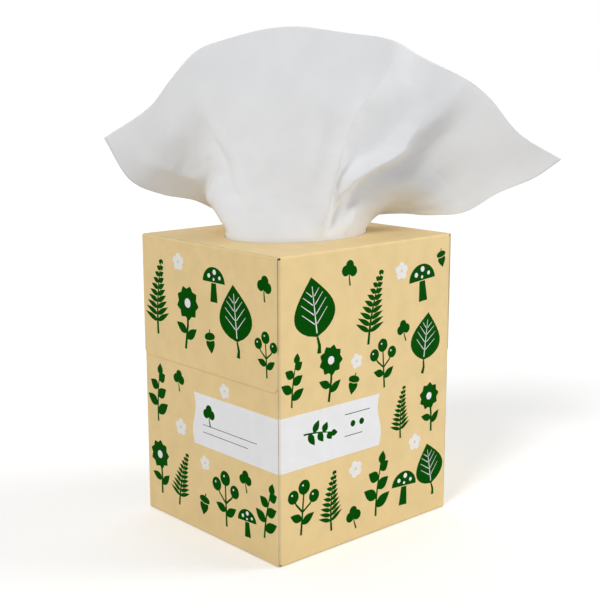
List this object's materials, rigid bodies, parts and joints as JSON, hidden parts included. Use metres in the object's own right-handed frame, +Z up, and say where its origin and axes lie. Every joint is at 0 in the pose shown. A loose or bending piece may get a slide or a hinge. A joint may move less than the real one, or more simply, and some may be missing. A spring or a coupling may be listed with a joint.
{
  "type": "tissue box",
  "caption": "Upright folded-board box of facial tissues with a printed leaf pattern, an oval opening on top and one sheet standing out of it.",
  "frame": {"origin": "middle of the carton's underside, on the surface that it stands on", "axes": "+Z up, -Y out of the front panel, X along the long sides of the oval opening; the glued end shown in the picture is -X"},
  "size_m": [0.1601, 0.1347, 0.2292],
  "materials": {
    "printed_board": "satin coated print",
    "tissue": "soft creped tissue"
  },
  "bodies": {
    "root": {"carton": "printed_board", "tissue_stack": "tissue", "pulled_tissue": "tissue"}
  },
  "joints": []
}
